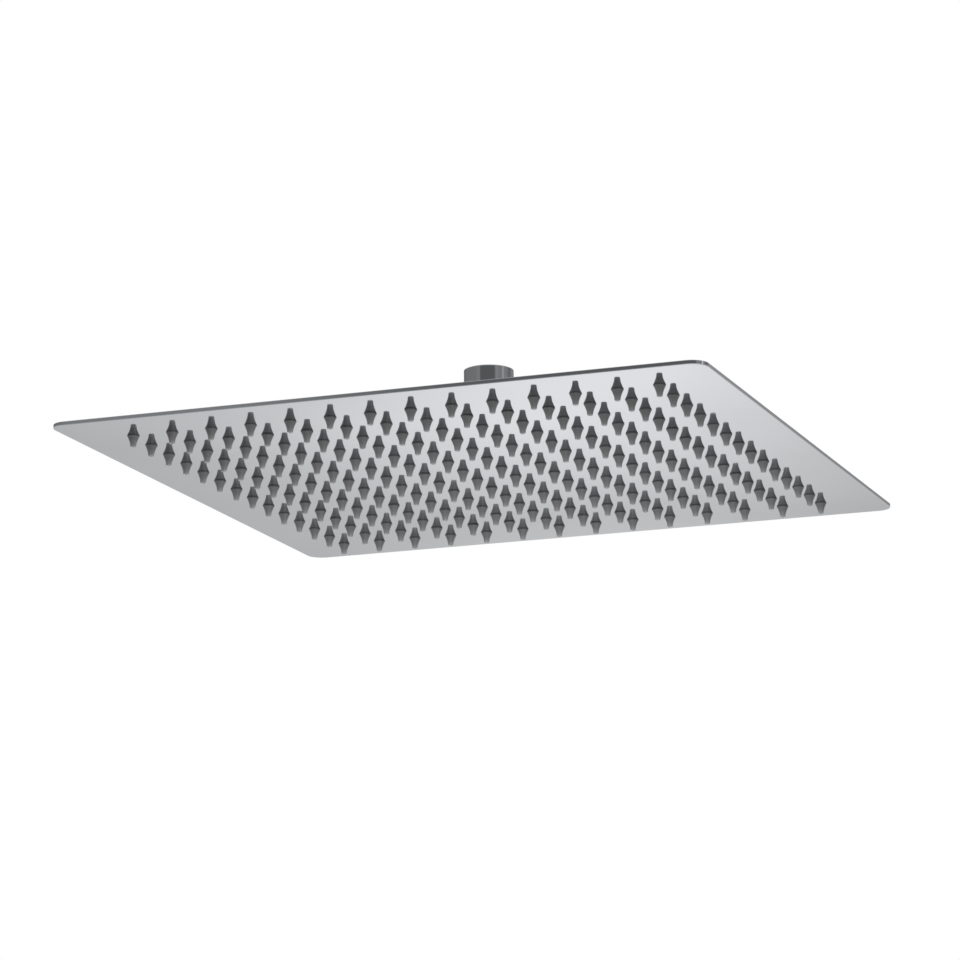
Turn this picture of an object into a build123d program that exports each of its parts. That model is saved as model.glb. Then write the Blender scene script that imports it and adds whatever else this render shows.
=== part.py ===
# Square rain shower head: a thin two-sheet plate with soft nozzles, hung from a pipe by a ball joint.
# Millimetres, +Z up. The origin is at the centre of the inlet's mouth, and the plate hangs below it.
import os
from math import acos, asin, atan, cos, degrees, floor, hypot, radians, sin, sqrt, tan

from build123d import *

os.makedirs("parts", exist_ok=True)

# Plate
plate_side = 400.0
corner_r = 10.0
face_t = 1.2            # face sheet
back_t = 1.2            # back sheet
edge_round = 0.3        # rounding of the rim's outer edges
face_bow = 2.2          # how far the middle of the face hangs below its rim
rim_w = 14.0            # flat rim round the pressed panel of the back sheet
panel_slope = 16.0      # width of the panel's sloping wall
panel_rise = 5.0        # height that the panel is pressed up
panel_corner_r = 22.0   # outer corner of the sloping wall
panel_round = 12.0      # bend along the top and the foot of that wall

# Nozzles
nozzle_rows = 14
nozzle_pitch = 25.0
nozzle_base_d = 7.6
nozzle_neck_d = 3.9     # where the flare ends and the straight tip starts
nozzle_tip_d = 3.25
nozzle_flare = 4.6      # length of the flare below the face
nozzle_drop = 6.8       # full length below the face
nozzle_sides = 10       # flats on each nozzle, few because there are so many of them

# Inlet socket, for a G 1/2 pipe thread
thread_r = 9.316        # crest radius of the female thread
thread_length = 12.0
relief_cut = 1.4        # how far the undercut below the thread goes past the crest
relief_spare = 0.6      # height left free in the undercut, above the washer
socket_floor = 5.5      # thickness between the socket and the ball's chamber
passage_r = 5.5         # water way through that floor
mouth_round = 0.5
screen_t = 0.4
screen_hole = 0.9       # side of the screen's square openings
screen_pitch = 1.5
washer_t = 2.0
washer_hole_r = 6.5

# Ball joint
ball_r = 10.0
neck_r = 6.0
shank_r = 5.0
water_r = 3.5           # bore through the stud
funnel_r = 5.0          # countersink at the top of that bore
funnel_depth = 1.5
seat_t = 1.45           # wall of both seats
seat_hole_r = 5.0       # water way through the upper seat
seat_land = 0.5         # flat height above the seat's spherical face
seal_w = 1.6
seal_t = 1.2
seal_wall = 1.2         # seat material outside the seal
lower_seat_top = 8.0    # degrees below the ball's middle where the lower seat starts
spigot_wall = 1.7       # threaded spigot of the ring nut
body_wall = 1.95        # connector wall round that spigot
spigot_gap = 0.4        # end gap above the spigot
parting_rise = 1.0      # joint line between connector and nut, above the ball's middle
parting_chamfer = 0.4
flare_height = 3.2      # height of the nut's flared mouth
flare_extra = 4.0       # degrees that the flare opens past the neck at full lean
tilt_deg = 15.0         # tilt each way about each of the two level axes
tilt_spare = 2.0        # degrees left free at full tilt
swing_gap = 1.5         # gap left under the nut at full lean
stud_washer_t = 1.0
stud_washer_w = 3.0

# Boss on the back sheet
hub_r = 10.0
hub_rise = 6.25
boss_flange_r = 24.0
boss_flange_t = 2.0
boss_spigot_r = 12.0
hub_chamfer = 0.8

# Fits
play = 0.05             # running and screwed fits
loose = 0.1             # washers and screens in their bores
nozzle_gap = 0.005      # flat nozzle foot to the bowed face

# Radii worked outwards from the ball
seat_in_r = ball_r + play
seat_out_r = seat_in_r + seat_t
cavity_r = seat_out_r + play
spigot_r = cavity_r + spigot_wall
body_bore_r = spigot_r + play
body_r = body_bore_r + body_wall
relief_r = thread_r + relief_cut
shank_bore_r = shank_r + play

# Angles at the ball: lean is both tilts at once, and the other two are measured from straight down
lean_deg = degrees(acos(cos(radians(tilt_deg)) ** 2))
lip_deg = degrees(asin(neck_r / cavity_r)) + lean_deg + tilt_spare
seat_edge_deg = degrees(asin(neck_r / seat_in_r)) + tilt_deg + tilt_spare
flare_deg = lean_deg + flare_extra

# Heights from the ball's middle
seat_rise = sqrt(seat_in_r**2 - seat_hole_r**2) + seat_land
seat_foot = seat_out_r * sin(radians(tilt_deg - lower_seat_top + tilt_spare))
lip_drop = cavity_r * cos(radians(lip_deg))
nut_drop = lip_drop + flare_height
swing_drop = nut_drop * cos(radians(lean_deg)) + body_r * sin(radians(lean_deg))
shoulder_drop = swing_drop + swing_gap

# Heights from the inlet's mouth
thread_end_z = -thread_length
floor_z = thread_end_z - relief_spare - washer_t - screen_t
ceiling_z = floor_z - socket_floor
ball_z = ceiling_z - play - seat_rise
parting_z = ball_z + parting_rise
shoulder_z = ball_z - shoulder_drop
boss_top_z = shoulder_z - stud_washer_t
panel_z = boss_top_z - hub_rise - boss_flange_t
rim_top_z = panel_z - panel_rise
seam_z = rim_top_z - back_t
face_z = seam_z - face_t

half_side = plate_side / 2
panel_foot = plate_side - 2 * rim_w
panel_top = panel_foot - 2 * panel_slope
panel_top_r = panel_corner_r - panel_slope / 2


def face_seat(x, y):
    # A plane square to the bowed face at x, y: the bow is nothing along the four edges and most in the middle
    across_x = 1 - (x / half_side) ** 2
    across_y = 1 - (y / half_side) ** 2
    slope_x = 2 * face_bow * x / half_side**2 * across_y
    slope_y = 2 * face_bow * y / half_side**2 * across_x
    touch = (x, y, face_z - face_bow * across_x * across_y - nozzle_gap)
    return Plane(touch, x_dir=(1, 0, slope_x), z_dir=(-slope_x, -slope_y, 1))


def on_ball(radius, angle):
    # A point at a radius from the ball's middle, at an angle in degrees from straight down
    return (radius * sin(radians(angle)), ball_z - radius * cos(radians(angle)))


def pillow_face(z):
    # The bowed surface as one patch, carried past the plate's edges: its control heights are those of
    # 1 - (x / half_side)^2 along each side, multiplied together
    reach = half_side + corner_r
    end = 1 - (reach / half_side) ** 2
    pulls = ((-reach, end), (0, 2 - end), (reach, end))
    return Face.make_bezier_surface(
        [[(x, y, z - face_bow * pull_x * pull_y) for y, pull_y in pulls] for x, pull_x in pulls]
    )


# Face sheet: a bowed square with rounded corners and a softened outer edge
with BuildPart() as face_plate:
    extrude(pillow_face(face_z), amount=face_t, dir=(0, 0, 1))
    with BuildSketch(Plane.XY.offset(face_z - 2 * face_bow)):
        RectangleRounded(plate_side, plate_side, corner_r)
    extrude(amount=2 * face_bow + face_t, mode=Mode.INTERSECT)
    fillet(face_plate.faces().sort_by(Axis.Z)[0].edges(), edge_round)
face_plate.part.label = "face_plate"
export_step(face_plate.part, "parts/face_plate.step")

# Back sheet: a flat rim with a shallow pressed panel, and a hole for the boss
with BuildPart() as back_plate:
    with BuildSketch(Plane.XY.offset(seam_z)):
        RectangleRounded(plate_side, plate_side, corner_r)
    extrude(amount=back_t)
    fillet(back_plate.faces().sort_by(Axis.Z)[-1].edges(), edge_round)
    with BuildSketch(Plane.XY.offset(rim_top_z)):
        RectangleRounded(panel_foot, panel_foot, panel_corner_r)
    with BuildSketch(Plane.XY.offset(panel_z)):
        RectangleRounded(panel_top, panel_top, panel_top_r)
    loft(ruled=True)
    panel_face = back_plate.faces().sort_by(Axis.Z)[-1]
    rim_face = back_plate.faces().filter_by(Plane.XY).group_by(Axis.Z)[-2][0]
    fillet(panel_face.edges() + rim_face.inner_wires()[0].edges(), panel_round)
    with BuildSketch(Plane.XY.offset(seam_z)):
        RectangleRounded(panel_foot, panel_foot, panel_corner_r)
    with BuildSketch(Plane.XY.offset(panel_z - back_t)):
        RectangleRounded(panel_top, panel_top, panel_top_r)
    loft(ruled=True, mode=Mode.SUBTRACT)
    with Locations((0, 0, panel_z)):
        Hole(boss_spigot_r + play, back_t)
back_plate.part.label = "back_plate"
export_step(back_plate.part, "parts/back_plate.step")

# One nozzle, hanging from the origin: the flare, then the tip
tip_length = nozzle_drop - nozzle_flare
flare_taper = degrees(atan((nozzle_base_d - nozzle_neck_d) / 2 / nozzle_flare))
tip_taper = degrees(atan((nozzle_neck_d - nozzle_tip_d) / 2 / tip_length))
with BuildPart() as nozzle:
    with BuildSketch():
        RegularPolygon(nozzle_base_d / 2, nozzle_sides, major_radius=False)
    extrude(amount=-nozzle_flare)
    draft(nozzle.faces().filter_by(Axis.Z, reverse=True), Plane.XY, -flare_taper)
    with BuildSketch(Plane.XY.offset(-nozzle_flare)):
        RegularPolygon(nozzle_neck_d / 2, nozzle_sides, major_radius=False)
    extrude(amount=-tip_length)
    upright = nozzle.faces().filter_by(lambda face: abs(face.normal_at().Z) < sin(radians(tip_taper)) / 2)
    draft(upright, Plane.XY.offset(-nozzle_flare), -tip_taper)

# The nozzles in a square grid, each square to the bowed face
grid = GridLocations(nozzle_pitch, nozzle_pitch, nozzle_rows, nozzle_rows)
with BuildPart() as nozzles:
    with Locations(*[face_seat(spot.position.X, spot.position.Y) for spot in grid.locations]):
        add(nozzle.part)
nozzles.part.label = "nozzles"
export_step(nozzles.part, "parts/nozzles.step")

# Connector: threaded socket with an undercut at its foot above, ball chamber below
with BuildPart() as inlet_body:
    with BuildSketch(Plane.XZ):
        with BuildLine():
            Polyline(
                (thread_r, 0),
                (body_r, 0),
                (body_r, parting_z),
                (body_bore_r, parting_z),
                (body_bore_r, ceiling_z),
                (passage_r, ceiling_z),
                (passage_r, floor_z),
                (relief_r, floor_z),
                (relief_r, thread_end_z),
                (thread_r, thread_end_z),
                close=True,
            )
        make_face()
    revolve(axis=Axis.Z)
    rims = inlet_body.edges().filter_by(GeomType.CIRCLE).filter_by(lambda e: abs(e.radius - body_r) < play)
    fillet(rims.sort_by(Axis.Z)[-1], mouth_round)
    chamfer(rims.sort_by(Axis.Z)[0], parting_chamfer)
inlet_body.part.label = "inlet_body"
export_step(inlet_body.part, "parts/inlet_body.step")

# Filter screen on the floor of the socket, with square openings inside the washer's hole
mesh_reach = washer_hole_r - screen_hole / sqrt(2)
mesh_rows = 2 * floor(mesh_reach / screen_pitch) + 1
mesh_grid = GridLocations(screen_pitch, screen_pitch, mesh_rows, mesh_rows).locations
mesh_spots = [spot for spot in mesh_grid if hypot(spot.position.X, spot.position.Y) < mesh_reach]
with BuildPart() as filter_screen:
    with BuildSketch(Plane.XY.offset(floor_z)):
        Circle(thread_r - loose)
        with Locations(*mesh_spots):
            Rectangle(screen_hole, screen_hole, mode=Mode.SUBTRACT)
    extrude(amount=screen_t)
filter_screen.part.label = "filter_screen"
export_step(filter_screen.part, "parts/filter_screen.step")

# Flat washer on the screen
with BuildPart() as inlet_washer:
    with BuildSketch(Plane.XY.offset(floor_z + screen_t)):
        Circle(thread_r - loose)
        Circle(washer_hole_r, mode=Mode.SUBTRACT)
    extrude(amount=washer_t)
inlet_washer.part.label = "inlet_washer"
export_step(inlet_washer.part, "parts/inlet_washer.step")

# Ring nut: threaded spigot, spherical cup with a lip under the ball, and a flared mouth
lip = on_ball(cavity_r, lip_deg)
nut_foot_z = ball_z - nut_drop
with BuildPart() as ring_nut:
    with BuildSketch(Plane.XZ):
        with BuildLine():
            CenterArc((0, ball_z), cavity_r, -90 + lip_deg, 90 - lip_deg)
            Polyline(
                (cavity_r, ball_z),
                (cavity_r, ceiling_z - spigot_gap),
                (spigot_r, ceiling_z - spigot_gap),
                (spigot_r, parting_z),
                (body_r, parting_z),
                (body_r, nut_foot_z),
                (lip[0] + flare_height * tan(radians(flare_deg)), nut_foot_z),
                lip,
            )
        make_face()
    revolve(axis=Axis.Z)
    rims = ring_nut.edges().filter_by(GeomType.CIRCLE).filter_by(lambda e: abs(e.radius - body_r) < play)
    chamfer(rims, parting_chamfer)
ring_nut.part.label = "ring_nut"
export_step(ring_nut.part, "parts/ring_nut.step")

# Ball stud: hollow ball, neck, and a shank that screws into the boss
ball_top_deg = 180 - degrees(asin(funnel_r / ball_r))
ball_neck_deg = degrees(asin(neck_r / ball_r))
ball_top = on_ball(ball_r, ball_top_deg)
ball_neck = on_ball(ball_r, ball_neck_deg)
shank_z = panel_z - back_t
with BuildPart() as ball_stud:
    with BuildSketch(Plane.XZ):
        with BuildLine():
            CenterArc((0, ball_z), ball_r, -90 + ball_neck_deg, ball_top_deg - ball_neck_deg)
            Polyline(
                ball_neck,
                (neck_r, shoulder_z),
                (shank_r, shoulder_z),
                (shank_r, shank_z),
                (water_r, shank_z),
                (water_r, ball_top[1] - funnel_depth),
                ball_top,
            )
        make_face()
    revolve(axis=Axis.Z)
ball_stud.part.label = "ball_stud"
export_step(ball_stud.part, "parts/ball_stud.step")

# Upper seat: a ring with a spherical face on the ball and a groove on top for the seal
seal_out_r = seat_out_r - seal_wall
seal_in_r = seal_out_r - seal_w
seat_top_z = ball_z + seat_rise
seat_low_deg = 90 + degrees(asin(seat_foot / seat_in_r))
seat_high_deg = 180 - degrees(asin(seat_hole_r / seat_in_r))
with BuildPart() as upper_seat:
    with BuildSketch(Plane.XZ):
        with BuildLine():
            CenterArc((0, ball_z), seat_in_r, -90 + seat_low_deg, seat_high_deg - seat_low_deg)
            Polyline(
                on_ball(seat_in_r, seat_high_deg),
                (seat_hole_r, seat_top_z),
                (seat_out_r, seat_top_z),
                (seat_out_r, ball_z + seat_foot),
                on_ball(seat_in_r, seat_low_deg),
            )
        make_face()
    revolve(axis=Axis.Z)
    with BuildSketch(Plane.XY.offset(seat_top_z)):
        Circle(seal_out_r + play)
        Circle(seal_in_r - play, mode=Mode.SUBTRACT)
    extrude(amount=-seal_t, mode=Mode.SUBTRACT)
upper_seat.part.label = "upper_seat"
export_step(upper_seat.part, "parts/upper_seat.step")

with BuildPart() as seal_ring:
    with BuildSketch(Plane.XY.offset(seat_top_z - seal_t)):
        Circle(seal_out_r)
        Circle(seal_in_r, mode=Mode.SUBTRACT)
    extrude(amount=seal_t)
seal_ring.part.label = "seal_ring"
export_step(seal_ring.part, "parts/seal_ring.step")

# Lower seat: a zone of a spherical shell between the ball and the nut's cup
zone_deg = 90 - lower_seat_top - seat_edge_deg
with BuildPart() as lower_seat:
    with BuildSketch(Plane.XZ):
        with BuildLine():
            CenterArc((0, ball_z), seat_in_r, -90 + seat_edge_deg, zone_deg)
            CenterArc((0, ball_z), seat_out_r, -90 + seat_edge_deg, zone_deg)
            Line(on_ball(seat_in_r, seat_edge_deg), on_ball(seat_out_r, seat_edge_deg))
            Line(on_ball(seat_in_r, 90 - lower_seat_top), on_ball(seat_out_r, 90 - lower_seat_top))
        make_face()
    revolve(axis=Axis.Z)
lower_seat.part.label = "lower_seat"
export_step(lower_seat.part, "parts/lower_seat.step")

# Washer under the stud's shoulder
with BuildPart() as stud_washer:
    with BuildSketch(Plane.XY.offset(boss_top_z)):
        Circle(shank_bore_r + stud_washer_w)
        Circle(shank_bore_r, mode=Mode.SUBTRACT)
    extrude(amount=stud_washer_t)
stud_washer.part.label = "stud_washer"
export_step(stud_washer.part, "parts/stud_washer.step")

# Boss: hub, flange on the back sheet, and a spigot down through its hole
with BuildPart() as boss:
    with BuildSketch(Plane.XZ):
        with BuildLine():
            Polyline(
                (shank_bore_r, boss_top_z),
                (hub_r, boss_top_z),
                (hub_r, panel_z + boss_flange_t),
                (boss_flange_r, panel_z + boss_flange_t),
                (boss_flange_r, panel_z),
                (boss_spigot_r, panel_z),
                (boss_spigot_r, panel_z - back_t),
                (shank_bore_r, panel_z - back_t),
                close=True,
            )
        make_face()
    revolve(axis=Axis.Z)
    chamfer(boss.edges().filter_by(GeomType.CIRCLE).filter_by(
        lambda e: abs(e.radius - hub_r) < play).sort_by(Axis.Z)[-1], hub_chamfer)
boss.part.label = "boss"
export_step(boss.part, "parts/boss.step")

print("face rim at", face_z, "ball at", ball_z, "connector diameter", 2 * body_r, "lean", lean_deg)
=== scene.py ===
import math

import bpy
import numpy as np
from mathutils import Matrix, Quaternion, Vector


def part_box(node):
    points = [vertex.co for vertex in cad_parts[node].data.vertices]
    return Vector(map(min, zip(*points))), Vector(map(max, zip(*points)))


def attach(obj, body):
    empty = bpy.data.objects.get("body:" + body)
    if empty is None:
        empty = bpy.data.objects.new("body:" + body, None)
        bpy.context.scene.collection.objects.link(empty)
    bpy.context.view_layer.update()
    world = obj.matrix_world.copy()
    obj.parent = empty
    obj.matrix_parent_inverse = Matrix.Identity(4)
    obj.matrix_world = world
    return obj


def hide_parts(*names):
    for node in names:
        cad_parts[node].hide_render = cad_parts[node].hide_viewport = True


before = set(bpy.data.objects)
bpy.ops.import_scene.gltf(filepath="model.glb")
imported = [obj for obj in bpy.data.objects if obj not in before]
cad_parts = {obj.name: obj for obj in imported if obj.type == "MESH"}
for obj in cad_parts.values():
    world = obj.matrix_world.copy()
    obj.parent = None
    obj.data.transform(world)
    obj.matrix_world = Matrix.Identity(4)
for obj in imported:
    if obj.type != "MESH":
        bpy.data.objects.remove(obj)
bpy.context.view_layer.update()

# Square rain shower head: polished sheets, soft nozzles, a turned ball joint.
# Sizes on the head are in millimetres, the studio round it is in metres, and angles are in degrees.
mm = 0.001
scene = bpy.context.scene
scene.view_settings.view_transform = "Standard"

plateLow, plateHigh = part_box("face_plate")
inletLow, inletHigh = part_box("inlet_body")
halfSide = plateHigh.x
seamZ = plateHigh.z                       # where the two sheets meet along the rim


# Mesh helpers

def loopFaces(rows, columns, joinRows):
    # quads between neighbouring rows; each row is a loop, and the rows may join into a ring
    row = np.arange(rows if joinRows else rows - 1)[:, None]
    column = np.arange(columns)[None, :]
    nextRow = (row + 1) % rows
    nextColumn = (column + 1) % columns
    corners = [row * columns + column, row * columns + nextColumn,
               nextRow * columns + nextColumn, nextRow * columns + column]
    return np.stack(corners, -1).reshape(-1, 4)


def outward(points, faceSets):
    # the enclosed volume is positive where the faces point outwards
    fans = [faces[:, [0, k, k + 1]] for faces in faceSets for k in range(1, faces.shape[1] - 1)]
    a, b, c = (points[np.concatenate(fans)[:, k]] for k in range(3))
    return np.einsum("ij,ij->i", a, np.cross(b, c)).sum() > 0


def putPiece(name, points, faceSets, sharpDeg):
    # a smooth mesh, with its edges kept where the faces turn by more than sharpDeg
    if not outward(points, faceSets):
        faceSets = [faces[:, ::-1] for faces in faceSets]
    mesh = bpy.data.meshes.new(name)
    mesh.from_pydata(points.tolist(), [], [face for faces in faceSets for face in faces.tolist()])
    mesh.shade_smooth()
    mesh.set_sharp_from_angle(angle=math.radians(sharpDeg))
    piece = bpy.data.objects.new(name, mesh)
    scene.collection.objects.link(piece)
    return piece


def turnedGrid(radius, height, columns):
    # a profile carried round the upright axis: x = r cos t, y = r sin t, z = h
    turn = np.arange(columns) * 2 * math.pi / columns
    radius = np.broadcast_to(radius, (len(height), columns))
    height = np.broadcast_to(np.asarray(height)[:, None], radius.shape)
    return np.stack([radius * np.cos(turn), radius * np.sin(turn), height], -1)


def arcLine(centre, radius, startDeg, endDeg, steps):
    # points on a circle between two angles
    turn = np.radians(np.linspace(startDeg, endDeg, steps + 1))
    return np.stack([centre[0] + radius * np.cos(turn), centre[1] + radius * np.sin(turn)], 1)


# Node helpers: a value is a socket to link or a plain number

def newMaterial(name):
    material = bpy.data.materials.new(name)
    material.use_nodes = True
    tree = material.node_tree
    return material, tree, tree.nodes["Principled BSDF"]


def addNode(tree, kind, inputs=None, **settings):
    node = tree.nodes.new(kind)
    for key, value in settings.items():
        setattr(node, key, value)
    for key, value in (inputs or {}).items():
        if isinstance(value, bpy.types.NodeSocket):
            tree.links.new(value, node.inputs[key])
        else:
            node.inputs[key].default_value = value
    return node


def newGroup(name, inputs, outputs):
    tree = bpy.data.node_groups.new(name, "ShaderNodeTree")
    for key in inputs:
        kind = "NodeSocketVector" if key == "Vector" else "NodeSocketFloat"
        tree.interface.new_socket(key, in_out="INPUT", socket_type=kind)
    for key in outputs:
        tree.interface.new_socket(key, in_out="OUTPUT", socket_type="NodeSocketFloat")
    return tree, tree.nodes.new("NodeGroupInput"), tree.nodes.new("NodeGroupOutput")


def calc(tree, operation, *values):
    return addNode(tree, "ShaderNodeMath", dict(enumerate(values)), operation=operation).outputs["Value"]


def rescale(tree, value, low, high):
    # low where the value is 0, high where it is 1
    node = addNode(tree, "ShaderNodeMapRange", {"Value": value, "To Min": low, "To Max": high})
    return node.outputs["Result"]


def softStep(tree, value, start, end, high=1.0):
    # 0 on the side of start, high past end, and a smooth change between them; start may be the larger
    node = addNode(tree, "ShaderNodeMapRange", {
        "Value": value, "From Min": start, "From Max": end, "To Max": high}, interpolation_type="SMOOTHSTEP")
    return node.outputs["Result"]


def noise(tree, vector, scale, detail, roughness=0.5):
    node = addNode(tree, "ShaderNodeTexNoise", {
        "Vector": vector, "Scale": scale, "Detail": detail, "Roughness": roughness})
    return node.outputs["Fac"]


def mixColour(tree, factor, first, second):
    # first where the factor is 0, second where it is 1; each is a socket or a plain colour
    ends = [end if isinstance(end, bpy.types.NodeSocket) else (*end, 1.0) for end in (first, second)]
    node = addNode(tree, "ShaderNodeMix", {"Factor": factor, "A": ends[0], "B": ends[1]}, data_type="RGBA")
    return node.outputs["Result"]


def mixShader(tree, factor, first, second):
    return addNode(tree, "ShaderNodeMixShader", {0: factor, 1: first, 2: second}).outputs["Shader"]


def glow(tree, strength, colour=(1.0, 1.0, 1.0, 1.0)):
    return addNode(tree, "ShaderNodeEmission", {"Color": colour, "Strength": strength}).outputs["Emission"]


def finishSurface(tree, shader, look, colour, roughness, height):
    # colour, roughness and relief go to the material's own shader
    bump = addNode(tree, "ShaderNodeBump", {
        "Height": height, "Strength": look["bump"], "Distance": look["bumpDepth"] * mm})
    tree.links.new(colour, shader.inputs["Base Color"])
    tree.links.new(roughness, shader.inputs["Roughness"])
    tree.links.new(bump.outputs["Normal"], shader.inputs["Normal"])


# Shared effect: what hands and polishing leave on bright metal

polish = {"smearDetail": 4.0, "smearRoughness": 0.55, "smearStart": 0.42, "smearFull": 0.72,
          "lineDetail": 2.0, "lineStretch": (0.03, 1.0, 1.0)}


def makePolishMarks(size):
    # soft smears where a wide noise is high, and hairlines from a fine noise drawn out along X
    tree, source, result = newGroup(
        "polishMarks", ["Vector", "Smear Scale", "Line Scale"], ["Smear", "Lines"])
    place = source.outputs["Vector"]
    wide = noise(tree, place, source.outputs["Smear Scale"], size["smearDetail"], size["smearRoughness"])
    smear = softStep(tree, wide, size["smearStart"], size["smearFull"])
    drawn = addNode(tree, "ShaderNodeVectorMath", {0: place, 1: size["lineStretch"]}, operation="MULTIPLY")
    lines = noise(tree, drawn.outputs["Vector"], source.outputs["Line Scale"], size["lineDetail"])
    tree.links.new(smear, result.inputs["Smear"])
    tree.links.new(lines, result.inputs["Lines"])
    return tree


polishMarks = makePolishMarks(polish)


# Shared effect: fine mottling of moulded rubber and plastic

mould = {"grainDetail": 3.0, "cloudScale": 45.0, "cloudDetail": 3.0}


def makeMouldGrain(size):
    # a fine noise for the skin's grain, and a wide one for its clouds
    tree, source, result = newGroup("mouldGrain", ["Vector", "Grain Scale"], ["Grain", "Cloud"])
    place = source.outputs["Vector"]
    grain = noise(tree, place, source.outputs["Grain Scale"], size["grainDetail"])
    cloud = noise(tree, place, size["cloudScale"], size["cloudDetail"])
    tree.links.new(grain, result.inputs["Grain"])
    tree.links.new(cloud, result.inputs["Cloud"])
    return tree


mouldGrain = makeMouldGrain(mould)


def brightMetal(name, look):
    # polished metal: smears and hairlines in the gloss, and the hairlines in faint relief
    material, tree, shader = newMaterial(name)
    place = addNode(tree, "ShaderNodeTexCoord")
    marks = addNode(tree, "ShaderNodeGroup", node_tree=polishMarks)
    tree.links.new(place.outputs["Object"], marks.inputs["Vector"])
    marks.inputs["Smear Scale"].default_value = look["smearScale"]
    marks.inputs["Line Scale"].default_value = look["lineScale"]
    smear, lines = marks.outputs["Smear"], marks.outputs["Lines"]
    colour = mixColour(tree, smear, look["colour"], look["smearColour"])
    gloss = rescale(tree, smear, look["gloss"], look["gloss"] + look["smear"])
    roughness = calc(tree, "MULTIPLY_ADD", lines, look["hairline"], gloss)
    finishSurface(tree, shader, look, colour, roughness, lines)
    shader.inputs["Metallic"].default_value = 1.0
    return material


def mouldedMatter(name, look):
    # rubber or plastic: clouded colour and gloss, with a fine grain in the surface
    material, tree, shader = newMaterial(name)
    place = addNode(tree, "ShaderNodeTexCoord")
    skin = addNode(tree, "ShaderNodeGroup", node_tree=mouldGrain)
    tree.links.new(place.outputs["Object"], skin.inputs["Vector"])
    skin.inputs["Grain Scale"].default_value = look["grainScale"]
    cloud = skin.outputs["Cloud"]
    colour = mixColour(tree, cloud, look["colour"], look["cloudColour"])
    roughness = rescale(tree, cloud, look["gloss"] - look["glossSwing"], look["gloss"] + look["glossSwing"])
    finishSurface(tree, shader, look, colour, roughness, skin.outputs["Grain"])
    return material, tree, shader, colour


steelLook = {"colour": (0.488, 0.502, 0.525), "smearColour": (0.472, 0.486, 0.509), "gloss": 0.03,
             "smear": 0.03, "hairline": 0.02, "smearScale": 14.0, "lineScale": 700.0,
             "bump": 0.02, "bumpDepth": 0.02}
chromeLook = {"colour": (0.492, 0.503, 0.525), "smearColour": (0.472, 0.483, 0.505), "gloss": 0.04,
              "smear": 0.05, "hairline": 0.03, "smearScale": 60.0, "lineScale": 1500.0,
              "bump": 0.02, "bumpDepth": 0.02}
rubberLook = {"colour": (0.022, 0.022, 0.023), "cloudColour": (0.035, 0.035, 0.036), "gloss": 0.6,
              "glossSwing": 0.06, "grainScale": 900.0, "bump": 0.25, "bumpDepth": 0.1}
plasticLook = {"colour": (0.72, 0.72, 0.70), "cloudColour": (0.66, 0.66, 0.64), "gloss": 0.45,
               "glossSwing": 0.06, "grainScale": 1200.0, "bump": 0.1, "bumpDepth": 0.1}

polishedSteel = brightMetal("polishedSteel", steelLook)
chromePlate = brightMetal("chromePlate", chromeLook)
blackRubber = mouldedMatter("blackRubber", rubberLook)[0]
whitePlastic = mouldedMatter("whitePlastic", plasticLook)[0]

turnedLook = {"colour": (0.46, 0.46, 0.46), "ringColour": (0.58, 0.58, 0.58), "gloss": 0.22,
              "ringGloss": 0.34, "ringScale": 2600.0, "ringDetail": 3.0, "bump": 0.35, "bumpDepth": 0.06}


def makeTurnedSteel(look):
    # lathe-turned steel: rings left by the tool, from a noise of the distance to the axis and the height
    material, tree, shader = newMaterial("turnedSteel")
    place = addNode(tree, "ShaderNodeTexCoord")
    parts = addNode(tree, "ShaderNodeSeparateXYZ", {"Vector": place.outputs["Object"]})
    flat = addNode(tree, "ShaderNodeCombineXYZ", {"X": parts.outputs["X"], "Y": parts.outputs["Y"]})
    reach = addNode(tree, "ShaderNodeVectorMath", {0: flat.outputs["Vector"]}, operation="LENGTH")
    along = addNode(tree, "ShaderNodeCombineXYZ", {"X": reach.outputs["Value"], "Y": parts.outputs["Z"]})
    rings = noise(tree, along.outputs["Vector"], look["ringScale"], look["ringDetail"])
    colour = mixColour(tree, rings, look["colour"], look["ringColour"])
    roughness = rescale(tree, rings, look["gloss"], look["ringGloss"])
    finishSurface(tree, shader, look, colour, roughness, rings)
    shader.inputs["Metallic"].default_value = 1.0
    return material


turnedSteel = makeTurnedSteel(turnedLook)

# the painted shade of the foot's line is dark up to footDark and gone at footClear, in shares of the
# nozzle's length
siliconeLook = {"colour": (0.085, 0.085, 0.088), "cloudColour": (0.108, 0.108, 0.111), "gloss": 0.5,
                "glossSwing": 0.06, "grainScale": 1500.0, "bump": 0.08, "bumpDepth": 0.1,
                "tipLightColour": (0.27, 0.27, 0.274), "fadePower": 2.6,
                "footShadeColour": (0.03, 0.03, 0.031), "footDark": 0.045, "footClear": 0.105}


def makeSilicone(look):
    # dark grey, with painted light making it paler towards the thin tip and painted shade leaving it darker
    # near the foot: paleness = tipFade ^ power, with tipFade the share of the length
    material, tree, shader, colour = mouldedMatter("greySilicone", look)
    share = addNode(tree, "ShaderNodeAttribute", attribute_name="tipFade").outputs["Fac"]
    pale = calc(tree, "POWER", share, look["fadePower"])
    colour = mixColour(tree, pale, colour, look["tipLightColour"])
    # a dark line of painted shade round the foot, where the edge of its hole in the sheet shades it
    clear = softStep(tree, share, look["footDark"], look["footClear"])
    tree.links.new(mixColour(tree, clear, look["footShadeColour"], colour), shader.inputs["Base Color"])
    return material


greySilicone = makeSilicone(siliconeLook)

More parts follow.
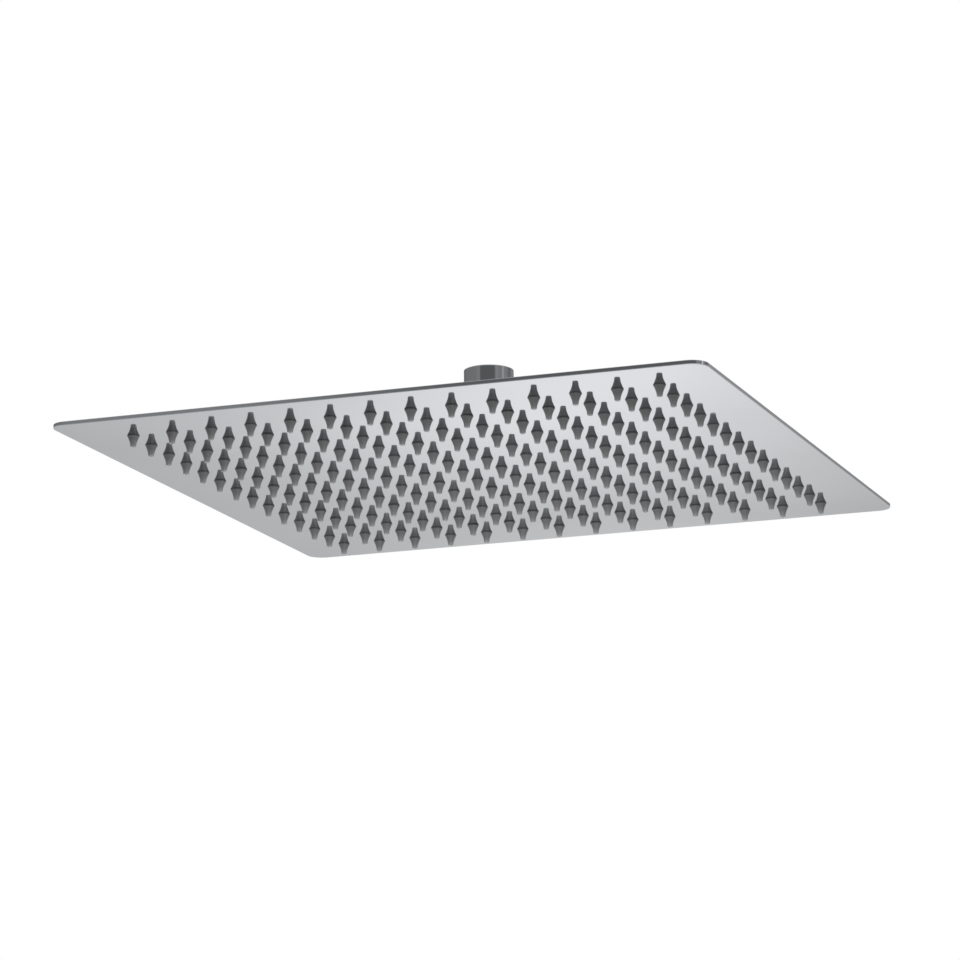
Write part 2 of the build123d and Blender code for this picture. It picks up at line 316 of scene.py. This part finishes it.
nodeFinish = {"face_plate": polishedSteel, "back_plate": polishedSteel, "ring_nut": chromePlate,
              "ball_stud": chromePlate, "boss": turnedSteel, "filter_screen": turnedSteel,
              "upper_seat": whitePlastic, "lower_seat": whitePlastic, "seal_ring": blackRubber,
              "stud_washer": blackRubber, "inlet_washer": blackRubber}
for nodeName, finish in nodeFinish.items():
    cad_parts[nodeName].data.materials.clear()
    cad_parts[nodeName].data.materials.append(finish)
print("finishes on", len(nodeFinish), "CAD nodes")


# Nozzles: 196 soft cones on the bowed face

nozzle = {"rows": 14, "pitch": 25.0, "sides": 12, "sharpDeg": 40.0, "faceT": 1.2, "foot": 0.005,
          "baseR": 3.8, "neckR": 1.95, "tipR": 1.625, "flare": 4.6, "drop": 6.8,
          "flareSteps": [0.0, 0.3, 0.62, 1.0], "hollow": 1.25,      # rows on the flare, and how it curves in
          "boreR": 0.7, "boreEndR": 0.56, "boreDepth": 2.2}
faceZ = seamZ - nozzle["faceT"] * mm      # level of the face along its edge
bow = faceZ - plateLow.z                  # how far the middle hangs below that


def nozzleProfile(size):
    # radius and depth below the face: a hollow flare, a straight tip, the end and its outlet
    step = np.array(size["flareSteps"])
    flareR = size["neckR"] + (size["baseR"] - size["neckR"]) * (1 - step) ** size["hollow"]
    radius = np.concatenate([flareR, [size["tipR"], size["boreR"], size["boreEndR"]]])
    end = [size["drop"], size["drop"], size["drop"] - size["boreDepth"]]
    depth = np.concatenate([step * size["flare"], end])
    return radius, depth


def makeNozzles(size):
    radius, depth = nozzleProfile(size)
    one = turnedGrid(radius[:, None], -depth, size["sides"]).reshape(-1, 3) * mm
    quads = loopFaces(len(radius), size["sides"], False)
    last = (len(radius) - 1) * size["sides"]
    ring = np.arange(size["sides"])
    caps = np.stack([ring[::-1], last + ring])          # the foot, and the bottom of the outlet
    # seats on the bow z = faceZ - bow (1 - x^2) (1 - y^2), x and y in half sides, each nozzle square to it
    line = (np.arange(size["rows"]) - (size["rows"] - 1) / 2) * size["pitch"] * mm
    x, y = (side.ravel() for side in np.meshgrid(line, line))
    acrossX, acrossY = 1 - (x / halfSide) ** 2, 1 - (y / halfSide) ** 2
    slopeX = 2 * bow * x / halfSide**2 * acrossY
    slopeY = 2 * bow * y / halfSide**2 * acrossX
    seat = np.stack([x, y, faceZ - bow * acrossX * acrossY - size["foot"] * mm], 1)
    up = np.stack([-slopeX, -slopeY, np.ones_like(x)], 1)
    up /= np.linalg.norm(up, axis=1, keepdims=True)
    across = np.stack([np.ones_like(x), np.zeros_like(x), slopeX], 1)
    across /= np.linalg.norm(across, axis=1, keepdims=True)
    turned = np.stack([across, np.cross(up, across), up], 1)
    points = np.einsum("vk,nkj->nvj", one, turned) + seat[:, None, :]
    shift = (np.arange(len(x)) * len(one))[:, None, None]
    faceSets = [(quads + shift).reshape(-1, 4), (caps + shift).reshape(-1, size["sides"])]
    piece = putPiece("nozzleField", points.reshape(-1, 3), faceSets, size["sharpDeg"])
    fade = np.repeat(depth / size["drop"], size["sides"])
    # painted shade: with tipFade 0 the outlet's floor takes the foot's dark line, so the recess is dark
    # inside
    fade[last:] = 0.0                                   # dark inside the outlet
    piece.data.attributes.new("tipFade", "FLOAT", "POINT").data.foreach_set("value", np.tile(fade, len(x)))
    piece.data.materials.append(greySilicone)
    return piece


nozzleField = makeNozzles(nozzle)
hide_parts("nozzles")
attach(nozzleField, "head")
print("nozzles", nozzle["rows"] ** 2, "faces", len(nozzleField.data.polygons))


# Connector with its pipe thread

collar = {"columns": 96, "sharpDeg": 35.0, "mouthRound": 0.5, "roundSteps": 6, "holdRow": 0.06,
          "partingChamfer": 0.4, "crestR": 9.316, "threadDepth": 1.162, "threadPitch": 1.8143,
          "rowsPerPitch": 8, "leadIn": 1.2, "threadLength": 12.0, "reliefR": 10.716, "floorZ": -15.0,
          "passageR": 5.5, "ceilingZ": -20.5, "chamberR": 13.3}


def makeCollar(size):
    bodyR, partingZ = inletHigh.x / mm, inletLow.z / mm
    rimCentre = (bodyR - size["mouthRound"], -size["mouthRound"])
    rim = arcLine(rimCentre, size["mouthRound"], 0, 90, size["roundSteps"])
    # the row just below the rounding keeps the wall's shading straight
    outside = np.concatenate([[[bodyR - size["partingChamfer"], partingZ],
                               [bodyR, partingZ + size["partingChamfer"]],
                               [bodyR, -size["mouthRound"] - size["holdRow"]]], rim])
    # bore radius = crest + depth * half (1 + cos(turns)), where one turn of the screw climbs one pitch,
    # and the lead-in cuts the crests back to the roots at the mouth
    steps = int(size["threadLength"] / size["threadPitch"] * size["rowsPerPitch"])
    boreZ = np.linspace(0, -size["threadLength"], steps + 1)
    turn = np.arange(size["columns"]) / size["columns"]
    wave = 0.5 + 0.5 * np.cos(2 * math.pi * (boreZ[:, None] / size["threadPitch"] - turn[None, :]))
    lead = np.clip(1 + boreZ / size["leadIn"], 0, 1)[:, None]
    bore = size["crestR"] + size["threadDepth"] * np.maximum(wave, lead)
    inside = np.array([[size["reliefR"], -size["threadLength"]], [size["reliefR"], size["floorZ"]],
                       [size["passageR"], size["floorZ"]], [size["passageR"], size["ceilingZ"]],
                       [size["chamberR"], size["ceilingZ"]], [size["chamberR"], partingZ]])
    radius = np.concatenate([np.repeat(outside[:, :1], size["columns"], 1), bore,
                             np.repeat(inside[:, :1], size["columns"], 1)])
    height = np.concatenate([outside[:, 1], boreZ, inside[:, 1]])
    points = turnedGrid(radius, height, size["columns"]).reshape(-1, 3) * mm
    faces = loopFaces(len(height), size["columns"], True)
    piece = putPiece("threadedCollar", points, [faces], size["sharpDeg"])
    piece.data.materials.append(chromePlate)
    return piece


threadedCollar = makeCollar(collar)
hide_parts("inlet_body")
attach(threadedCollar, "inlet")
print("collar faces", len(threadedCollar.data.polygons))


# Camera at the photograph's view, aimed from below the plate

camera = {"lens": 158.82, "sensor": 36.0, "clipEnd": 100.0, "azimuth": 20.37, "elevation": -13.15,
          "distance": 2.58, "aimAzimuth": 20.501, "aimElevation": 13.017, "roll": -0.327}


def heading(azimuthDeg, elevationDeg):
    # unit vector away from the viewer: azimuth 0 looks along +Y
    a, e = math.radians(azimuthDeg), math.radians(elevationDeg)
    return Vector((-math.sin(a) * math.cos(e), math.cos(a) * math.cos(e), math.sin(e)))


lensData = bpy.data.cameras.new("photoCamera")
lensData.lens = camera["lens"]
lensData.sensor_width = camera["sensor"]
lensData.clip_end = camera["clipEnd"]
photoCamera = bpy.data.objects.new("photoCamera", lensData)
scene.collection.objects.link(photoCamera)
sight = heading(camera["azimuth"], -camera["elevation"]) * camera["distance"]
photoCamera.location = Vector((0, 0, faceZ)) - sight
photoCamera.rotation_mode = "QUATERNION"
level = heading(camera["aimAzimuth"], camera["aimElevation"]).to_track_quat("-Z", "Y")
photoCamera.rotation_quaternion = level @ Quaternion((0, 0, 1), math.radians(camera["roll"]))
scene.camera = photoCamera
print("camera at", [round(v, 3) for v in photoCamera.location])


# World: white to the eye and to bright metal, soft grey light for the rest

sky = {"light": 0.55, "white": 1.0}


def makeWorld(size):
    world = bpy.data.worlds.new("studioWorld")
    world.use_nodes = True
    tree = world.node_tree
    tree.nodes.clear()
    path = addNode(tree, "ShaderNodeLightPath")
    seen = calc(tree, "MAXIMUM", path.outputs["Is Camera Ray"], path.outputs["Is Glossy Ray"])
    seen = calc(tree, "MAXIMUM", seen, path.outputs["Is Transmission Ray"])
    strength = rescale(tree, seen, size["light"], size["white"])
    dome = addNode(tree, "ShaderNodeBackground", {"Color": (1.0, 1.0, 1.0, 1.0), "Strength": strength})
    addNode(tree, "ShaderNodeOutputWorld", {"Surface": dome.outputs["Background"]})
    scene.world = world


makeWorld(sky)


# Floor: pale, far below the head, fading into the white round it

paleFloor = {"level": -1.25, "half": 14.0, "roughness": 0.9, "grainScale": 2.0, "grainDetail": 3.0,
             "paint": (0.80, 0.80, 0.80), "grainPaint": (0.83, 0.83, 0.83),
             "fadeStart": 1.6, "fadeEnd": 6.0,                      # distances from the inlet
             "quarterGrey": 0.62, "quarterSwing": 0.32, "quarterTurn": 50.0,
             "swingStart": 1.25, "swingFull": 1.55, "quarterFull": 2.5, "quarterEnd": 3.6}


def makeFloor(size):
    half = size["half"]
    corner = np.array([[-half, -half], [half, -half], [half, half], [-half, half]])
    points = np.concatenate([corner, np.full((4, 1), size["level"])], 1)
    mesh = bpy.data.meshes.new("studioFloor")
    mesh.from_pydata(points.tolist(), [], [[0, 1, 2, 3]])
    floor = bpy.data.objects.new("studioFloor", mesh)
    scene.collection.objects.link(floor)
    material, tree, shader = newMaterial("palePaintAndGlow")
    place = addNode(tree, "ShaderNodeTexCoord").outputs["Object"]
    path = addNode(tree, "ShaderNodeLightPath")
    cameraRay, glossyRay = path.outputs["Is Camera Ray"], path.outputs["Is Glossy Ray"]
    grain = noise(tree, place, size["grainScale"], size["grainDetail"])
    tree.links.new(mixColour(tree, grain, size["paint"], size["grainPaint"]), shader.inputs["Base Color"])
    shader.inputs["Roughness"].default_value = size["roughness"]
    # far out it is white to the eye and to bright metal
    reach = addNode(tree, "ShaderNodeVectorMath", {0: place}, operation="LENGTH").outputs["Value"]
    fade = softStep(tree, reach, size["fadeStart"], size["fadeEnd"])
    amount = calc(tree, "MULTIPLY", fade, calc(tree, "MAXIMUM", cameraRay, glossyRay))
    mixed = mixShader(tree, amount, shader.outputs["BSDF"], glow(tree, 1.0))
    # near by, the floor glows with painted light and dark quarters that only bright metal sees, as painted
    # reflections:
    # grey = middle + swing * cos(2 * azimuth + turn), with no swing close under the head
    parts = addNode(tree, "ShaderNodeSeparateXYZ", {"Vector": place})
    azimuth = calc(tree, "ARCTAN2", parts.outputs["Y"], parts.outputs["X"])
    wave = calc(tree, "COSINE", calc(tree, "MULTIPLY_ADD", azimuth, 2.0, math.radians(size["quarterTurn"])))
    swing = softStep(tree, reach, size["swingStart"], size["swingFull"], size["quarterSwing"])
    grey = calc(tree, "MULTIPLY_ADD", wave, swing, size["quarterGrey"])
    near = softStep(tree, reach, size["quarterEnd"], size["quarterFull"])
    mixed = mixShader(tree, calc(tree, "MULTIPLY", near, glossyRay), mixed, glow(tree, grey))
    # seen from underneath, the floor is clear
    side = addNode(tree, "ShaderNodeNewGeometry")
    under = calc(tree, "MULTIPLY", side.outputs["Backfacing"], cameraRay)
    clear = addNode(tree, "ShaderNodeBsdfTransparent")
    shown = mixShader(tree, under, mixed, clear.outputs["BSDF"])
    tree.links.new(shown, tree.nodes["Material Output"].inputs["Surface"])
    mesh.materials.append(material)


makeFloor(paleFloor)
print("sky and floor in place")


# Reflection cards: seen only in bright metal

def glowMaterial(name):
    material, tree, shader = newMaterial(name)
    tree.nodes.remove(shader)
    return material, tree, tree.nodes["Material Output"].inputs["Surface"]


def glossOnly(name, points, faces, material):
    mesh = bpy.data.meshes.new(name)
    mesh.from_pydata(points.tolist(), [], faces.tolist())
    mesh.materials.append(material)
    card = bpy.data.objects.new(name, mesh)
    scene.collection.objects.link(card)
    for kind in ("camera", "diffuse", "transmission", "volume_scatter", "shadow"):
        setattr(card, "visible_" + kind, False)


def uprightCard(name, middle, across, low, high, material):
    # a rectangle from the middle less across to the middle plus across, between two levels
    ends = np.array([middle - across, middle + across, middle + across, middle - across])
    ends[:, 2] = [low, low, high, high]
    glossOnly(name, ends, np.array([[0, 1, 2, 3]]), material)


# Grey wall round the head, from the horizon up, whose grey bands glow as painted reflections seen only in
# bright metal: azimuth 0 lies towards -Y and grows towards +X
greyWall = {"radius": 6.0, "low": 1.5, "high": 76.0, "columns": 96, "rows": 12,
            # azimuth and grey of each band
            "bands": [(-180, 0.16), (-130, 0.20), (-100, 0.30), (-45, 0.30), (-24, 0.37), (-22, 0.31),
                      (-20, 0.20), (-15, 0.168), (45, 0.17), (55, 0.40), (76, 0.315), (83, 0.36),
                      (87, 0.56), (93, 0.52), (98, 0.35), (112, 0.35), (126, 0.24), (136, 0.24),
                      (150, 0.32), (158, 0.46), (168, 0.32), (180, 0.16)],
            # grey of each zone, and the rise where it starts and where it is full
            "zones": [(0.95, 16.0, 29.0), (0.55, 36.0, 70.0), (0.62, 12.0, 8.5)]}


def makeGreyWall(size):
    # part of a sphere: x = r sin a cos e, y = -r cos a cos e, z = r sin e
    azimuth = np.linspace(-math.pi, math.pi, size["columns"], endpoint=False)[None, :]
    rise = np.radians(np.linspace(size["low"], size["high"], size["rows"]))[:, None]
    points = size["radius"] * np.stack([np.sin(azimuth) * np.cos(rise), -np.cos(azimuth) * np.cos(rise),
                                        np.sin(rise) + 0 * azimuth], -1)
    material, tree, surface = glowMaterial("greyWallGlow")
    place = addNode(tree, "ShaderNodeTexCoord")
    parts = addNode(tree, "ShaderNodeSeparateXYZ", {"Vector": place.outputs["Object"]})
    turn = calc(tree, "ARCTAN2", parts.outputs["X"], calc(tree, "MULTIPLY", parts.outputs["Y"], -1.0))
    share = calc(tree, "MULTIPLY_ADD", turn, 0.5 / math.pi, 0.5)        # 0 to 1 once round
    bands = addNode(tree, "ShaderNodeValToRGB", {"Fac": share})
    ramp = bands.color_ramp.elements
    while len(ramp) < len(size["bands"]):
        ramp.new(0.5)
    for stop, (angle, grey) in zip(ramp, size["bands"]):
        stop.position = (angle + 180) / 360
        stop.color = (grey, grey, grey, 1)
    colour = bands.outputs["Color"]
    for grey, start, full in size["zones"]:
        startZ, fullZ = (size["radius"] * math.sin(math.radians(angle)) for angle in (start, full))
        zone = softStep(tree, parts.outputs["Z"], startZ, fullZ)
        colour = mixColour(tree, zone, colour, (grey, grey, grey))
    tree.links.new(glow(tree, 1.0, colour), surface)
    glossOnly("greyWall", points.reshape(-1, 3), loopFaces(size["rows"], size["columns"], False), material)


makeGreyWall(greyWall)

# Soft card beyond the plate: its pool of light is what the polished face shows
poolCard = {"distance": 2.6, "azimuth": 20.49, "halfWidth": 0.95, "low": -1.2, "high": -0.32,
            "base": 0.195, "slopeAcross": -0.09, "slopeRise": -0.504, "pool": 0.755,
            "centre": 0.141, "centreZ": -1.1, "width": 0.497, "height": 0.584}


def makePoolCard(size):
    # grey = base + a slope each way + pool * exp(-(across / width)^2 - (rise / height)^2)
    away = heading(size["azimuth"], 0)
    sideways = Vector((away.y, -away.x, 0))
    material, tree, surface = glowMaterial("poolOfLight")
    place = addNode(tree, "ShaderNodeTexCoord").outputs["Object"]
    measured = addNode(tree, "ShaderNodeVectorMath", {0: place, 1: sideways}, operation="DOT_PRODUCT")
    across = measured.outputs["Value"]
    rise = addNode(tree, "ShaderNodeSeparateXYZ", {"Vector": place}).outputs["Z"]
    falls = []
    for value, centre, spread in ((across, size["centre"], size["width"]),
                                  (rise, size["centreZ"], size["height"])):
        offset = calc(tree, "DIVIDE", calc(tree, "SUBTRACT", value, centre), spread)
        falls.append(calc(tree, "POWER", offset, 2.0))
    fall = calc(tree, "EXPONENT", calc(tree, "MULTIPLY", calc(tree, "ADD", *falls), -1.0))
    grey = calc(tree, "MULTIPLY_ADD", fall, size["pool"], size["base"])
    for value, slope in ((across, size["slopeAcross"]), (rise, size["slopeRise"])):
        grey = calc(tree, "MULTIPLY_ADD", value, slope, grey)
    tree.links.new(glow(tree, grey), surface)
    middle = away * size["distance"]
    uprightCard("poolCard", middle, sideways * size["halfWidth"], size["low"], size["high"], material)


makePoolCard(poolCard)

# Narrow strip of light beside the plate, which glints in its near right corner
glintCard = {"cornerRound": 0.01, "azimuth": 96.0, "distance": 0.6, "halfWidth": 0.026, "low": 0.045,
             "high": 0.145, "strength": 1.5}


def makeGlintCard(size):
    # it faces the corner, and its azimuth is counted as on the grey wall
    away = -heading(size["azimuth"], 0)
    sideways = Vector((away.y, -away.x, 0))
    material, tree, surface = glowMaterial("glintLight")
    tree.links.new(glow(tree, size["strength"]), surface)
    corner = halfSide - size["cornerRound"]
    middle = Vector((corner, -corner, 0)) + away * size["distance"]
    uprightCard("glintCard", middle, sideways * size["halfWidth"], size["low"], size["high"], material)


makeGlintCard(glintCard)
print("reflection cards in place")


# Lamps: a wide soft key high on the camera's left, a weak fill on its right, and a small one under the plate

lamps = {"keyLamp": {"place": (-1.6, -2.2, 1.6), "aim": (0, 0, -0.06), "size": 1.6, "power": 46.0},
         "fillLamp": {"place": (2.3, -1.7, -0.3), "aim": (0, 0, -0.06), "size": 1.4, "power": 7.0},
         "underLamp": {"place": (0.05, -0.08, -0.48), "aim": (0.05, 0.1, -0.06), "size": 0.35, "power": 2.0}}


def addLamp(name, lamp):
    data = bpy.data.lights.new(name, "AREA")
    data.shape = "DISK"
    data.size = lamp["size"]
    data.energy = lamp["power"]
    light = bpy.data.objects.new(name, data)
    scene.collection.objects.link(light)
    light.location = lamp["place"]
    light.rotation_mode = "QUATERNION"
    light.rotation_quaternion = (Vector(lamp["aim"]) - Vector(lamp["place"])).to_track_quat("-Z", "Y")
    light.visible_camera = False
    light.visible_glossy = False


for lampName, lamp in lamps.items():
    addLamp(lampName, lamp)
print("lamps", len(lamps))
